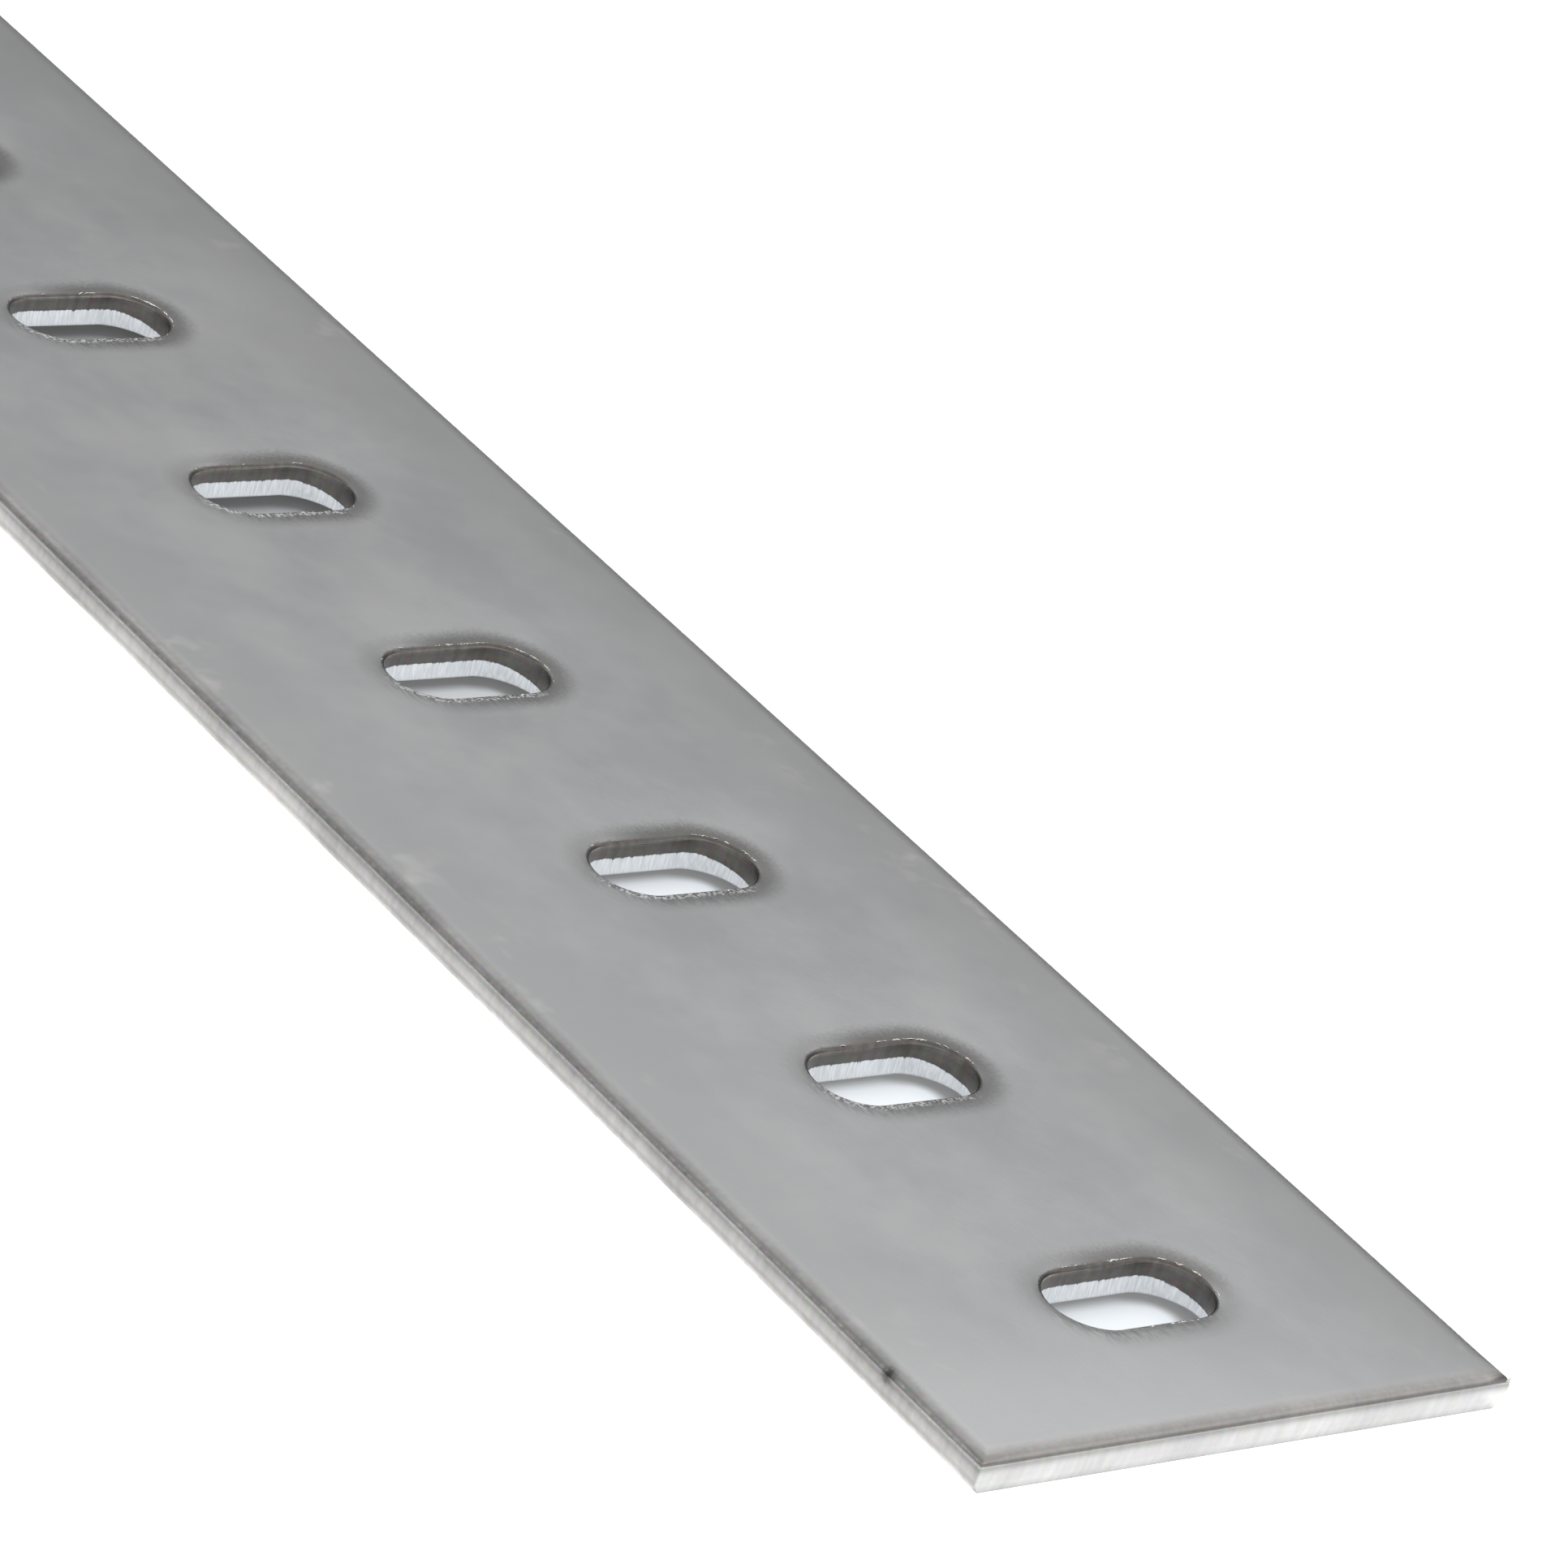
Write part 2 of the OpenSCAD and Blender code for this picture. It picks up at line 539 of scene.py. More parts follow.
def whereabouts(board, place):
    """Where a point lies: its zone and kind of edge, and its place on the bar and in a slot."""
    spot = board.axes(place)
    in_slot = board.from_nearest(spot["X"], first_slot.x * MM, SLOT_PITCH * MM)
    to_end = abs(spot["X"])
    to_side = abs(spot["Y"])
    return SimpleNamespace(
        zone=board.add("ShaderNodeAttribute", {"attribute_name": "zone"})["Fac"],
        punched=board.add("ShaderNodeAttribute", {"attribute_name": "punched"})["Fac"],
        across=spot["Y"],
        to_end=to_end,
        to_side=to_side,
        at_end=board.rise(to_end - to_side, *MITRE),
        near_lip=board.rise(in_slot, *NEAR_LIP),
        past_left_tip=board.rise(spot["Y"], *LEFT_TIP),
        right_tip=board.rise(spot["Y"], *RIGHT_TIP),
        # 0 at the first slot and 1 from the second on, where the slots' painted shade and highlights
        # change
        past_first_slot=1 - board.rise(spot["X"], *BEFORE_FIRST),
    )


print("patterns:", ", ".join(PATTERNS))

# %% [markdown]
# Each kind of surface has a short function. The flat face is darker and
# scuffed along its sides, and paler near the ends, which is a painted
# reflection. Where it is drawn down round a slot it carries a dark halo of
# painted shade, laid on in a few dark strokes beside the +x lip. The sheared
# edges and the slots' walls climb their ladders of painted tones. The break is
# torn, bright and streaked, with painted shade at its foot. These are only
# colours: which of them shows where is left to the material.

# %% Colours of the face and of the cuts
FACE_DARK = grey(0.465, -0.012)
FACE_PALE = grey(0.54, -0.004)
FACE_SIDES = grey(0.46, -0.004)
# the face near the ends, paler: a painted reflection
FACE_END_SHEEN = grey(0.62, -0.004)
SCUFFED = grey(0.66, 0.03)
# painted shade of the halo round a slot, at the first slot and at the others
FIRST_HALO_SHADE = grey(0.20, 0.03)
LATER_HALO_SHADE = grey(0.15, 0.03)
# painted shade, laid on in strokes beside a slot's +x lip
LIP_STROKE_SHADE = grey(0.22)
FAR_SHOULDER = grey(0.45, 0.02)
FAR_LAND = grey(0.95)
BREAK_DARK = grey(0.60, -0.045)
BREAK_PALE = grey(0.78, -0.035)
# painted shade at the foot of a slot's break
BREAK_FOOT_SHADE = grey(0.3)


def face_colour(board, here, noise):
    cloudy = 0.45 * noise.bands + 0.35 * noise.clouds + 0.2 * noise.spots
    face = board.tint(board.rise(cloudy, 0.36, 0.64), FACE_DARK, FACE_PALE)
    face = board.tint(0.65 * board.rise(here.to_side, *DARKER_SIDE), face, FACE_SIDES)
    # Painted reflection: the face gets paler near the ends.
    paler = board.rise(here.to_end, *END_SHEEN_SPAN) * (0.6 - 0.55 * board.rise(here.across, *END_SHEEN_CORNER))
    face = board.tint(paler, face, FACE_END_SHEEN)
    scuffs = board.rise(noise.rubbed, 0.58, 0.72) * board.rise(here.to_side, *SCUFFED_SIDE)
    return board.tint(0.5 * scuffs, face, SCUFFED)


def halo_colour(board, here, noise, face):
    """The face where it is drawn down round a slot, with a painted shade round the slot."""
    halo = board.rise(here.zone + uneven(noise.crumbs, 0.5), -1.1, -0.1) * here.punched
    halo = halo * (0.25 + 0.75 * here.past_left_tip) * (1 - (0.7 - 0.4 * here.past_first_slot) * here.near_lip)
    dish = board.tint(halo, face, board.tint(here.past_first_slot, FIRST_HALO_SHADE, LATER_HALO_SHADE))
    # Beside the +x lip the halo's painted shade is laid on in dark strokes.
    lip_strokes = here.near_lip * (1 - here.right_tip) * here.punched
    lip_strokes = lip_strokes * board.rise(here.zone + uneven(noise.clouds, 0.5), -0.8, -0.1)
    strokes = board.rise(noise.strokes, 0.42, 0.62)
    return board.tint((0.45 + 0.25 * here.past_first_slot) * lip_strokes * strokes, dish, LIP_STROKE_SHADE)


def cut_colour(board, here, noise):
    """The sheared outer edges, in tones with painted reflection and painted shade. The far side is seen
    edge on, so two tones do for it.
    """
    frayed = here.zone + uneven(noise.crumbs, 0.14) + uneven(noise.broad, 0.1)
    patchy = 0.82 + 0.5 * noise.broad + uneven(noise.clouds, 1.2)
    sides = board.scaled(board.ladder(frayed, SIDE_PAINTED_TONES), patchy)
    calm = 0.85 + 0.3 * noise.broad + uneven(noise.clouds, 0.5)
    ends = board.scaled(board.ladder(here.zone, END_PAINTED_TONES), calm)
    far_side = board.tint(board.rise(frayed, 0.05, 0.3), FAR_SHOULDER, FAR_LAND)
    far_side = board.scaled(far_side, 0.6 + 0.8 * noise.crumbs)
    cut = board.tint(here.at_end, sides, ends)
    return board.tint(board.rise(here.across, *FAR_SIDE) * (1 - here.at_end), cut, far_side)


def wall_colour(board, here, noise):
    """A slot's shoulder and land in painted tones, darker and calmer where the +y tip would glare:
    painted shade over a reflection.
    """
    glare = here.right_tip * board.between(here.zone, 0.5, 0.86, 0.2)
    streaks = (0.5 + noise.broad) * (1 - 0.5 * glare)
    return board.scaled(board.scaled(board.ladder(here.zone, WALL_PAINTED_TONES), streaks), 0.95)


def break_colour(board, here, noise):
    """The torn part of a slot's wall, with painted shade at its foot."""
    torn = board.tint(board.rise(noise.fine, 0.3, 0.7), BREAK_DARK, BREAK_PALE)
    return board.tint(0.6 * board.between(here.zone, 2.95, 3.3, 0.1), torn, BREAK_FOOT_SHADE)


print("levels of the face:", FACE_DARK[1], "to", FACE_PALE[1])

# %% [markdown]
# The material blends these kinds, each by a share that follows the zone and has
# a ragged border. The lip on the +x side of a slot has a pale dull fringe, a
# painted highlight, more so from the second slot on. The near shoulder has one
# small dark nick. Coloured flecks, too faint to be seen one by one, break up
# the greys of the cuts. A fine relief roughens the grain of the face and, more
# strongly, the cuts.

# %% Finish of the aluminium
FLECK_SCALE = 3100.0
# a painted highlight on a slot's +x lip
LIT_LIP_PAINTED = grey(0.55)
NICKED = grey(0.03, 0.1)
NICK_PLACE = tuple(Vector((LENGTH / 2 - 7.65, -WIDTH / 2 + 0.2, 1.6)) * MM)
NICK_EDGE = span(0.1, 0.6)
NICK_RAGGED = 0.5 * MM
RELIEF = 0.03 * MM


def blank_material(name):
    """A material and an empty board to wire it up on."""
    material = bpy.data.materials.new(name)
    material.use_nodes = True
    return material, Board(material.node_tree)


def lit_lip_share(board, here, noise):
    """Share of the pale fringe along a slot's +x lip, a painted highlight."""
    fringe = here.zone + uneven(noise.crumbs, 0.5) + 0.2 * here.past_first_slot
    fringe = board.between(fringe, -0.02, 0.5, 0.16) * board.rise(noise.crumbs, 0.42, 0.6)
    return here.near_lip * (1 - here.right_tip) * here.punched * fringe * (0.25 + 0.45 * here.past_first_slot)


def nick_share(board, place, noise):
    ends = {0: place, 1: NICK_PLACE}
    away = board.add("ShaderNodeVectorMath", {"operation": "DISTANCE"}, ends)["Value"]
    return 0.85 * (1 - board.rise(away + uneven(noise.crumbs, NICK_RAGGED), *NICK_EDGE))


def mill_aluminium():
    material, board = blank_material("mill_aluminium")
    place = board.add("ShaderNodeTexCoord")["Object"]
    here = whereabouts(board, place)
    noise = metal_noises(board, place)
    flecks = board.noise(place, FLECK_SCALE, 2.0)["Color"]

    rolled = here.zone + uneven(noise.crumbs, 0.4) + uneven(noise.broad, 0.25)
    rolled = board.rise(rolled, -1.0, 0.1) * (1 - here.punched)
    wall = here.zone + uneven(noise.crumbs, 0.4) + uneven(noise.broad, 0.35)
    wall = wall - 0.4 * here.near_lip - 0.15 * (1 - here.past_left_tip) - 0.1 * here.right_tip
    wall = board.rise(wall, -0.25, 0.1) * here.punched
    torn = here.zone + uneven(noise.fine, 0.35) + uneven(noise.broad, 0.25)
    torn = board.rise(torn, 1.93, 2.05) * here.punched
    fringe = lit_lip_share(board, here, noise)

    colour = halo_colour(board, here, noise, face_colour(board, here, noise))
    # The cuts and the slots' walls get their painted tones of reflection and shade.
    colour = board.tint(rolled, colour, board.tint(0.1, cut_colour(board, here, noise), flecks))
    colour = board.tint(wall, colour, board.tint(0.06, wall_colour(board, here, noise), flecks))
    colour = board.tint(torn, colour, break_colour(board, here, noise))
    # A painted highlight along the slots' +x lips.
    colour = board.tint(fringe, colour, LIT_LIP_PAINTED)
    colour = board.tint(nick_share(board, place, noise), colour, NICKED)

    worked = board.rise(here.zone, 0.6, 1.2)
    height = worked * (0.5 * noise.broad + 0.4 * noise.fine + 0.3 * noise.crumbs)
    relief = {"Strength": 0.3, "Distance": RELIEF, "Height": 0.3 * noise.grain + height}
    surface = board.add("ShaderNodeBsdfPrincipled", None, {
        "Base Color": colour,
        "Roughness": 0.22 + 0.06 * noise.clouds + 0.2 * worked,
        "Metallic": 1.0 - 0.7 * torn - 0.8 * fringe,
        "Normal": board.add("ShaderNodeBump", None, relief)["Normal"],
    })["BSDF"]
    board.add("ShaderNodeOutputMaterial", None, {"Surface": surface})
    return material


aluminium = mill_aluminium()
print("finish:", aluminium.name, "with", len(aluminium.node_tree.nodes), "nodes")

# %% [markdown]
# The slots repeat at an even pitch, so Geometry Nodes places them: one part goes
# on the points of a line. Two trees need this, one for the walls of the slots
# and one for the burrs on their lips, so both are begun and ended by the same
# helpers. A tree's inputs have names. Each keeps its identifier, by which a
# modifier gives it a value.

# %% Helpers for the trees of the row
ROW_INPUTS = {
    "Slot Count": ("Int", 4),
    "Pitch": ("Float", 0.02),
    "First Slot": ("Vector", None),
    "Seed": ("Float", 0.0),
    "Material": ("Material", None),
}


def row_tree(name, own_mesh, more_inputs):
    """An empty tree: its board, the wires of its inputs, and the identifiers of its inputs by name."""
    tree = bpy.data.node_groups.new(name, "GeometryNodeTree")
    tree.interface.new_socket("Geometry", in_out="OUTPUT", socket_type="NodeSocketGeometry")
    identifiers = {}
    inputs = {own_mesh: ("Geometry", None), **more_inputs, **ROW_INPUTS}
    for label, (kind, default) in inputs.items():
        socket = tree.interface.new_socket(label, in_out="INPUT", socket_type="NodeSocket" + kind)
        if default is not None:
            socket.default_value = default
        identifiers[label] = socket.identifier
    board = Board(tree)
    return board, board.add("NodeGroupInput"), identifiers


def along_row(board, given, part):
    """Sets a part on every slot of the row."""
    line = board.add("GeometryNodeMeshLine", {"mode": "OFFSET"}, {
        "Count": given["Slot Count"],
        "Start Location": given["First Slot"],
        "Offset": board.add("ShaderNodeCombineXYZ", None, {"X": -1 * given["Pitch"]})["Vector"],
    })["Mesh"]
    sockets = {"Points": line, "Instance": part}
    row = board.add("GeometryNodeInstanceOnPoints", None, sockets)["Instances"]
    return board.add("GeometryNodeRealizeInstances", None, {"Geometry": row})["Geometry"]


def geometry_of(board, thing):
    return board.add("GeometryNodeObjectInfo", None, {"Object": thing})["Geometry"]


def end_tree(board, given, geometry):
    """Ends a tree with plain geometry in its material."""
    plain = board.add("GeometryNodeRealizeInstances", None, {"Geometry": geometry})["Geometry"]
    sockets = {"Geometry": plain, "Material": given["Material"]}
    dressed = board.add("GeometryNodeSetMaterial", None, sockets)["Geometry"]
    board.add("NodeGroupOutput", None, {"Geometry": dressed})


print("inputs of both trees:", ", ".join(ROW_INPUTS))

# %% [markdown]
# The flat faces need no model of their own. They are what lies between the open
# rims of the slots and of the outer edge, so the tree turns those rims into
# curves and fills them, once at the top and once, turned over, at the
# underside. Merging by distance then closes the bar into one skin. Last, the
# broken zone is torn: its points move inwards by a noise.

# %% Tree that punches the row
MERGE_DISTANCE = 0.01 * MM
TEAR_SCALE = 1800.0
TOP_ZONE = -1.0
UNDERSIDE_ZONE = 4.0


def flat_face(board, walls, rim, height, zone):
    """Fills the face between the open rims at one height, and marks its zone."""
    curve = board.add("GeometryNodeMeshToCurve", None, {"Mesh": walls, "Selection": rim})["Curve"]
    face = board.add("GeometryNodeFillCurve", None, {"Curve": curve})["Mesh"]
    lift = board.add("ShaderNodeCombineXYZ", None, {"Z": height})["Vector"]
    face = board.add("GeometryNodeSetPosition", None, {"Geometry": face, "Offset": lift})["Geometry"]
    settings = {"data_type": "FLOAT", "domain": "POINT"}
    sockets = {"Geometry": face, "Name": "zone", "Value": zone}
    return board.add("GeometryNodeStoreNamedAttribute", settings, sockets)["Geometry"]


def tear(board, bar, given):
    """Draws the broken zone inwards by an uneven amount, so that it stays within the bar's size."""
    named = board.add("GeometryNodeInputNamedAttribute", {"data_type": "FLOAT"}, {"Name": "zone"})
    place = board.add("GeometryNodeInputPosition")["Position"]
    normal = board.add("GeometryNodeInputNormal")["Normal"]
    torn = board.seeded_noise(board.stretch(place, (1.0, 1.0, 0.3)), given["Seed"], TEAR_SCALE, 2.0)
    depth = given["Tear Depth"] * (torn - 1.0) * board.between(named["Attribute"], 1.95, 2.95, 0.1)
    sockets = {"Geometry": bar, "Offset": board.scaled(normal, depth)}
    return board.add("GeometryNodeSetPosition", None, sockets)["Geometry"]


def punching_tree():
    board, given, identifiers = row_tree("punched_row", "Slot Walls", {
        "Outer Edges": ("Object", None),
        "Thickness": ("Float", 0.002),
        "Underside": ("Float", 0.0),
        "Tear Depth": ("Float", 0.00002),
    })
    row = along_row(board, given, given["Slot Walls"])
    walls = board.join(row, geometry_of(board, given["Outer Edges"]))

    neighbours = board.add("GeometryNodeInputMeshEdgeNeighbors")["Face Count"]
    open_rim = 1 - (neighbours - 1)
    place = board.add("GeometryNodeInputPosition")["Position"]
    upper = board.axes(place)["Z"] > 0.5 * given["Thickness"]
    top = flat_face(board, walls, open_rim * upper, given["Thickness"], TOP_ZONE)
    under = flat_face(board, walls, open_rim * (1 - upper), given["Underside"], UNDERSIDE_ZONE)
    under = board.add("GeometryNodeFlipFaces", None, {"Mesh": under})["Mesh"]

    sockets = {"Geometry": board.join(walls, top, under), "Distance": MERGE_DISTANCE}
    bar = board.add("GeometryNodeMergeByDistance", None, sockets)["Geometry"]
    end_tree(board, given, tear(board, bar, given))
    return board.tree, identifiers


punched_row, row_identifiers = punching_tree()
print("tree:", punched_row.name, "with", len(punched_row.nodes), "nodes")

# %% [markdown]
# The modifier gets its values by the sockets' identifiers before Blender first
# evaluates the object. The result is then taken as a plain mesh, and the
# modifier goes, because the later steps want plain meshes.

# %% Build the bar
TEAR_DEPTH = 0.03
TEAR_SEED = 3.0
SHARP_ANGLE = 50

row_values = {
    "Slot Count": SLOT_COUNT,
    "Pitch": SLOT_PITCH * MM,
    "First Slot": (first_slot.x * MM, first_slot.y * MM, 0.0),
}


def baked_piece(name, source, tree, identifiers, values):
    """Runs a tree on an object and returns the result as an object with a plain mesh."""
    modifier = source.modifiers.new("tree", "NODES")
    modifier.node_group = tree
    for label, value in values.items():
        modifier[identifiers[label]] = value
    bpy.context.view_layer.update()
    evaluated = source.evaluated_get(bpy.context.evaluated_depsgraph_get())
    mesh = bpy.data.meshes.new_from_object(evaluated)
    mesh.name = name
    source.modifiers.remove(modifier)
    mesh.shade_smooth()
    return placed(name, mesh)


def triangle_count(piece):
    piece.data.calc_loop_triangles()
    return len(piece.data.loop_triangles)


bar = baked_piece("punched_bar", slot_walls, punched_row, row_identifiers, {
    **row_values,
    "Outer Edges": outer_edges,
    "Thickness": THICKNESS * MM,
    "Underside": BURR_HEIGHT * MM,
    "Tear Depth": TEAR_DEPTH * MM,
    "Seed": TEAR_SEED,
    "Material": aluminium,
})
for scaffold in (slot_walls, outer_edges):
    bpy.data.objects.remove(scaffold)
bar.data.set_sharp_from_angle(angle=math.radians(SHARP_ANGLE))
print(f"bar: {triangle_count(bar)} triangles")

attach(bar, "root")
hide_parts(NODE)

# %% [markdown]
# A punch leaves tiny slivers on the lip of its hole, and a shear leaves them
# along the cut. They catch the light as bright specks, in clusters. One curled
# sliver is modelled. A second tree walks along the lips in short steps, keeps
# steps by chance where a noise is high, and sets a sliver there with a turn and
# a size of its own. More of them are kept on the +y side, where the photograph
# shows most. One larger sliver stands up at the end's +y corner, where the cuts
# of the slitting blade and of the end shear met.

# %% Burrs on the lips
SLIVER_LENGTH = 0.38
SLIVER_WIDTH = 0.14
SLIVER_HEIGHT = 0.03
SLIVER_DEPTH = 0.02
SLIVER_SECTIONS = 5
LIP_DISTANCE = 0.24      # of the slivers from a slot's land
LIP_HEIGHT = 1.935
END_LIP_INSET = 0.13
END_LIP_HEIGHT = 1.42
END_LIP_MARGIN = 0.5     # the end's lip stops this far from the long sides
BURR_STEP = 0.22
BURR_SEED = 7.0
CLUSTER_SCALE = 420.0
MORE_BURRS = span(-4.0, 3.0)      # across the bar, their share grows over this stretch
FEWER_BURRS = span(0.0, 2.0)      # from a slot's middle to its +x wall, it shrinks over this one
CORNER_PLACE = (LENGTH / 2 - 0.05, WIDTH / 2 - 0.17, 1.72)
CORNER_TILT = -86
CORNER_SCALE = (1.4, 2.3, 1.6, 1.0)


def curled_sliver(name):
    """A thin closed sliver that narrows at both tips and bends upwards in its middle."""
    points, faces = [], []
    for i in range(SLIVER_SECTIONS):
        run = i / (SLIVER_SECTIONS - 1)
        wide = SLIVER_WIDTH / 2 * (0.25 + 0.75 * math.sin(math.pi * run))
        bend = SLIVER_HEIGHT * math.sin(math.pi * run)
        low = bend - SLIVER_DEPTH
        x = SLIVER_LENGTH * (run - 0.5)
        points += [(x, -wide, low), (x, wide, low), (x, 0.2 * wide, bend)]
        if i:
            start = 3 * i
            for k in range(3):
                after = (k + 1) % 3
                faces.append((start - 3 + k, start + k, start + after, start - 3 + after))
    last = len(points) - 1
    faces += [(0, 1, 2), (last, last - 1, last - 2)]
    return placed(name, mesh_from_mm(name, points, [], faces))


def lip_line(name, points, closed):
    """A chain of edges along a lip."""
    edges = [(i, i + 1) for i in range(len(points) - 1)]
    if closed:
        edges.append((len(points) - 1, 0))
    return placed(name, mesh_from_mm(name, points, edges, []))


def burr_turn(board, tangent):
    """Lays a sliver along its lip and leans it a little at random."""
    lean = board.random((-0.3, -0.12, -0.5), (0.3, 0.12, 0.5), 12)
    lean = board.add("FunctionNodeEulerToRotation", None, {"Euler": lean})["Rotation"]
    along = board.add("FunctionNodeAlignRotationToVector", {"axis": "X"}, {"Vector": tangent})
    sockets = {"Rotation": along["Rotation"], "Rotate By": lean}
    return board.add("FunctionNodeRotateRotation", {"rotation_space": "LOCAL"}, sockets)["Rotation"]


def burr_tree():
    board, given, identifiers = row_tree("burrs_on_lips", "Slot Lip", {
        "End Lip": ("Object", None),
        "Sliver": ("Object", None),
        "Step": ("Float", 0.0003),
    })
    lips = board.join(along_row(board, given, given["Slot Lip"]), geometry_of(board, given["End Lip"]))
    curve = board.add("GeometryNodeMeshToCurve", None, {"Mesh": lips})["Curve"]
    steps = {"Curve": curve, "Length": given["Step"]}
    walk = board.add("GeometryNodeCurveToPoints", {"mode": "LENGTH"}, steps)

    place = board.add("GeometryNodeInputPosition")["Position"]
    spot = board.axes(place)
    first = board.axes(given["First Slot"])["X"]
    in_slot = board.from_nearest(spot["X"], first, given["Pitch"])
    share = 0.3 + 0.6 * board.rise(spot["Y"], *MORE_BURRS)
    share = share * (1 - 0.6 * board.rise(in_slot, *FEWER_BURRS))
    cluster = board.seeded_noise(place, given["Seed"], CLUSTER_SCALE, 1.0)
    kept = board.random(0.0, 1.0, 11) < share * board.rise(cluster, 0.42, 0.58)
    burrs = board.add("GeometryNodeInstanceOnPoints", None, {
        "Points": walk["Points"],
        "Selection": kept,
        "Instance": geometry_of(board, given["Sliver"]),
        "Rotation": burr_turn(board, walk["Tangent"]),
        "Scale": board.random(0.35, 1.05, 13),
    })["Instances"]
    end_tree(board, given, burrs)
    return board.tree, identifiers


def torn_metal():
    """Fresh torn aluminium: bright, with a fine uneven shine."""
    material, board = blank_material("torn_metal")
    place = board.add("ShaderNodeTexCoord")["Object"]
    glint = board.noise(place, 5000.0, 2.0)["Fac"]
    surface = board.add("ShaderNodeBsdfPrincipled", None, {
        "Base Color": board.tint(board.rise(glint, 0.35, 0.6), grey(0.62), grey(0.92)),
        "Roughness": 0.3 + 0.2 * glint,
        "Metallic": 0.6,
    })["BSDF"]
    board.add("ShaderNodeOutputMaterial", None, {"Surface": surface})
    return material


sliver = curled_sliver("sliver")
lip_points = [(x + LIP_DISTANCE * u, y + LIP_DISTANCE * v, LIP_HEIGHT) for x, y, u, v in outline]
slot_lip = lip_line("slot_lip", lip_points, True)
end_x = LENGTH / 2 - END_LIP_INSET
end_points = [(end_x, share * (WIDTH / 2 - END_LIP_MARGIN), END_LIP_HEIGHT) for share in (-1, 0, 1)]
end_lip = lip_line("end_lip", end_points, False)
lip_burrs, burr_identifiers = burr_tree()
burrs = baked_piece("lip_burrs", slot_lip, lip_burrs, burr_identifiers, {
    **row_values,
    "End Lip": end_lip,
    "Sliver": sliver,
    "Step": BURR_STEP * MM,
    "Seed": BURR_SEED,
    "Material": torn_metal(),
})
for scaffold in (sliver, slot_lip, end_lip):
    bpy.data.objects.remove(scaffold)
print(f"burrs: {triangle_count(burrs)} triangles")

corner_burr = curled_sliver("corner_burr")
upright = Matrix.Rotation(math.radians(CORNER_TILT), 4, "Y") @ Matrix.Diagonal(CORNER_SCALE)
corner_burr.data.transform(Matrix.Translation(Vector(CORNER_PLACE) * MM) @ upright)
corner_burr.data.materials.append(aluminium)

for piece in (burrs, corner_burr):
    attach(piece, "root")

# %% [markdown]
# The bar lies on a plain white floor. The camera stands low and far off and
# looks along the bar through a long lens, as in the photograph. The place of
# the camera was found from the edges of the bar and the spacing of its slots.

# %% Camera
CAMERA_PLACE = Vector((699.88, -248.61, 179.52))
CAMERA_AIM = Vector((441.24, 14.39, 1.0))
CAMERA_ROLL = math.radians(19.216)
LENS = 171.69
SENSOR = 36.0


def long_camera():
    data = bpy.data.cameras.new("camera")
    data.lens = LENS
    data.sensor_width = SENSOR
    data.clip_start = 0.01
    data.clip_end = 100.0
    camera = placed("camera", data)
    facing = (CAMERA_AIM - CAMERA_PLACE).to_track_quat("-Z", "Y")
    turned = facing.to_matrix().to_4x4() @ Matrix.Rotation(CAMERA_ROLL, 4, "Z")
    camera.matrix_world = Matrix.Translation(CAMERA_PLACE * MM) @ turned
    bpy.context.scene.camera = camera
    return camera


camera = long_camera()
print("camera at", [round(c, 3) for c in camera.location])

# %% [markdown]
# Metal shows its surroundings. The room is a soft gradient: grey low at the
# horizon, where the flat face mirrors it, and bright higher up. It lights the
# floor most from overhead, and the metal mirrors that part calmer. A large
# lamp behind the bar is hidden from reflections, as one behind a screen is.
# The floor is white paper with a glow of its own outside the bar, so that it
# stays white in the picture without more light on the metal. Under the bar
# the paper is darker, and darker still at the foot of each slot's wall, where
# little light arrives. Both shades get deeper away from the near end. Only
# the camera sees them.

# %% Floor and light
FLOOR_SIZE = 6000.0
PAPER = grey(0.92)
SHADE_NEAR = grey(0.66, -0.04)       # the paper under the bar, at the near end and far from it
SHADE_FAR = grey(0.22, -0.02)
FOOT_NEAR = grey(0.27)               # and at the foot of a slot's wall
FOOT_FAR = grey(0.10)
SHADE_FADE = span(LENGTH / 2 - 105, LENGTH / 2 - 35)
FOOT_WIDTH = 1.1
FOOT_WIDER_FAR = 0.8                 # shares by which the foot's shade widens
FOOT_WIDER_TIP = 0.6
WIDER_TIP = span(1.0, 4.0)           # across the bar, towards a slot's +y tip
FOOT_START = span(-6.2, -3.0)        # across the bar, the foot's shade sets in at the -y tip
FLOOR_GLOW = 0.65
GLOW_MIRRORED = 0.45                 # share of the glow that the metal mirrors
GLOW_EDGE = 0.4 * MM                 # the glow fades out this far inside the bar's footprint

HORIZON = (0.365, 0.60)              # stretch of the sky's height over which it gets bright
SKY_LOW = 0.30
SKY_CLIMB = 0.95
OVERHEAD = (0.61, 0.82)
OVERHEAD_LIGHT = 0.5
OVERHEAD_CALMED = 0.9                # taken off again where the metal mirrors it

LAMP_SIZE = 1200.0
LAMP_PLACE = Vector((-900.0, 500.0, 1300.0))
LAMP_AIM = Vector((450.0, 0.0, 0.0))
LAMP_POWER = 20.0


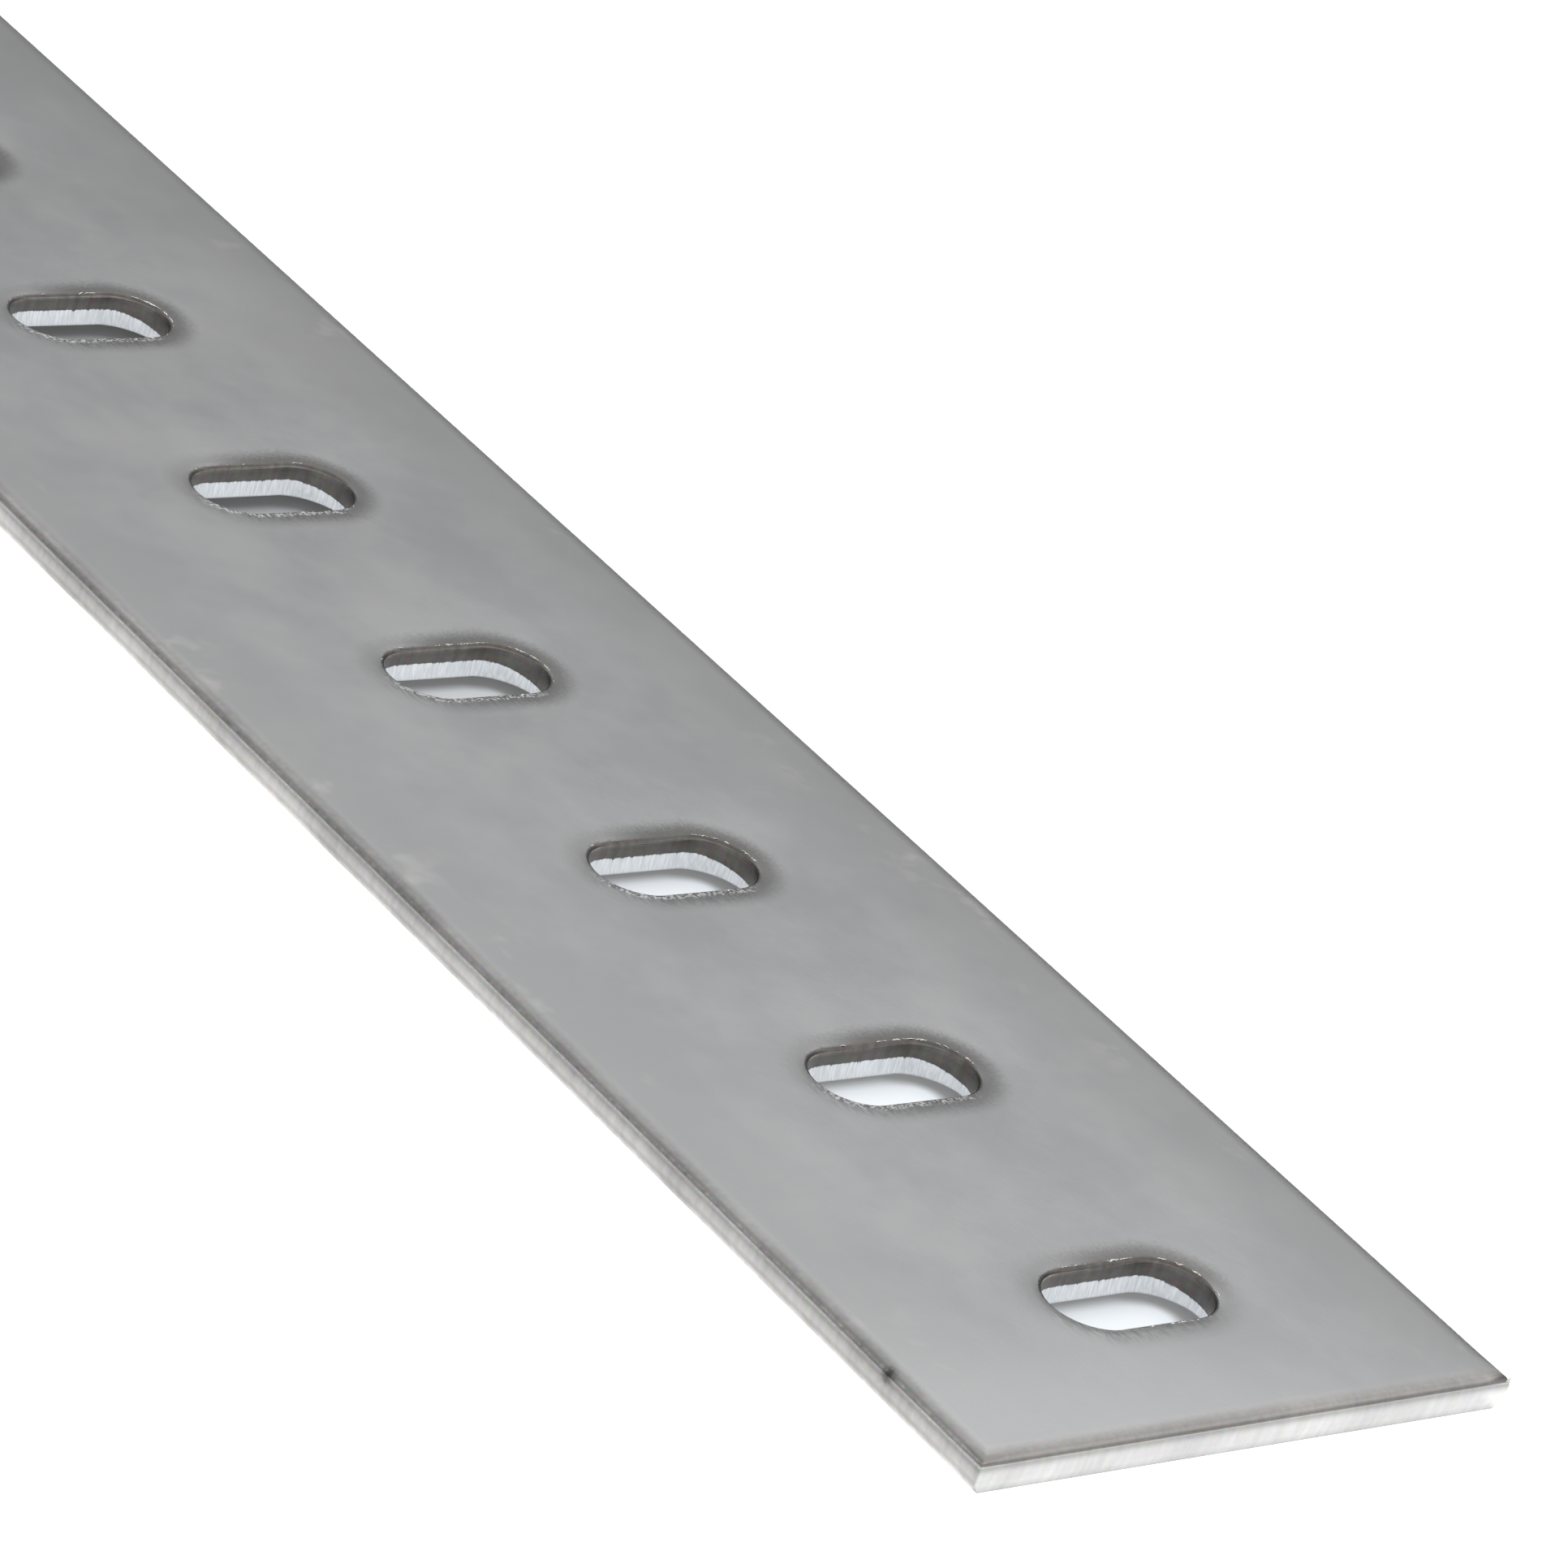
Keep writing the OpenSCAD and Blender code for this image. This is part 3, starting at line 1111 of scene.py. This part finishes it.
def foot_share(board, place, far_off):
    """Share of the dark line at the foot of a slot's wall."""
    in_slot = board.from_nearest(place["X"], first_slot.x * MM, SLOT_PITCH * MM)
    across = place["Y"] - first_slot.y * MM
    past_wall = board.maths("MAXIMUM", abs(across) - STRAIGHT_WALL * MM / 2, 0.0)
    from_middle = board.maths("SQRT", in_slot * in_slot + past_wall * past_wall)
    wall_foot = END_RADIUS + SLOT_FLARE - BREAK_PULL
    wider = 1 + FOOT_WIDER_FAR * far_off + FOOT_WIDER_TIP * board.rise(across, *WIDER_TIP)
    foot = board.rise(from_middle + FOOT_WIDTH * wider * MM, *span(wall_foot, wall_foot + FOOT_WIDTH))
    return foot * board.rise(across, *FOOT_START)


def floor_material():
    """White paper. The camera sees it a little brighter where the bar doesn't cover it."""
    material, board = blank_material("white_floor")
    place = board.axes(board.add("ShaderNodeTexCoord")["Object"])
    beside = abs(place["Y"]) - (WIDTH / 2 - NEAR_SIDE_LEAN) * MM
    beyond = abs(place["X"]) - (LENGTH / 2 - END_LEAN) * MM
    open_floor = board.rise(board.maths("MAXIMUM", beside, beyond), -GLOW_EDGE, 0.0)
    far_off = 1 - board.rise(place["X"], *SHADE_FADE)
    rays = board.add("ShaderNodeLightPath")
    shade = board.tint(far_off, SHADE_NEAR, SHADE_FAR)
    foot = board.tint(far_off, FOOT_NEAR, FOOT_FAR)
    colour = board.tint(foot_share(board, place, far_off), shade, foot)
    colour = board.tint(rays["Is Camera Ray"], PAPER, colour)
    colour = board.tint(open_floor, colour, PAPER)
    paper = board.add("ShaderNodeBsdfDiffuse", None, {"Color": colour})["BSDF"]
    bright = {"Color": grey(1.0), "Strength": FLOOR_GLOW}
    glow = board.add("ShaderNodeEmission", None, bright)["Emission"]
    dark = board.add("ShaderNodeEmission", None, {"Color": grey(0.0), "Strength": 0.0})["Emission"]
    seen = rays["Is Camera Ray"] * open_floor + GLOW_MIRRORED * rays["Is Glossy Ray"]
    extra = board.add("ShaderNodeMixShader", None, {0: seen, 1: dark, 2: glow})["Shader"]
    surface = board.add("ShaderNodeAddShader", None, {0: paper, 1: extra})["Shader"]
    board.add("ShaderNodeOutputMaterial", None, {"Surface": surface})
    return material


def white_floor():
    half = FLOOR_SIZE / 2
    corners = [(-half, -half, 0), (half, -half, 0), (half, half, 0), (-half, half, 0)]
    mesh = mesh_from_mm("floor", corners, [], [(0, 1, 2, 3)])
    mesh.materials.append(floor_material())
    floor = placed("floor", mesh)


def soft_room():
    world = bpy.data.worlds.new("soft_room")
    world.use_nodes = True
    board = Board(world.node_tree)
    up = board.axes(board.add("ShaderNodeTexCoord")["Generated"])["Z"]
    span_of_sky = {"Value": up, "From Min": HORIZON[0], "From Max": HORIZON[1]}
    climb = board.add("ShaderNodeMapRange", None, span_of_sky)["Result"]
    mirrored = board.add("ShaderNodeLightPath")["Is Glossy Ray"]
    overhead = board.rise(up, *OVERHEAD) * (OVERHEAD_LIGHT - OVERHEAD_CALMED * mirrored)
    sky = {"Color": grey(1.0, -0.004), "Strength": SKY_LOW + SKY_CLIMB * climb + overhead}
    light = board.add("ShaderNodeBackground", None, sky)["Background"]
    board.add("ShaderNodeOutputWorld", None, {"Surface": light})
    bpy.context.scene.world = world


def back_lamp():
    data = bpy.data.lights.new("back_lamp", "AREA")
    data.shape = "SQUARE"
    data.size = LAMP_SIZE * MM
    data.energy = LAMP_POWER
    lamp = placed("back_lamp", data)
    facing = (LAMP_AIM - LAMP_PLACE).to_track_quat("-Z", "Y")
    lamp.matrix_world = Matrix.Translation(LAMP_PLACE * MM) @ facing.to_matrix().to_4x4()
    lamp.visible_glossy = False


white_floor()
soft_room()
back_lamp()
bpy.context.scene.view_settings.view_transform = "Standard"
print("floor, room and lamp ready")
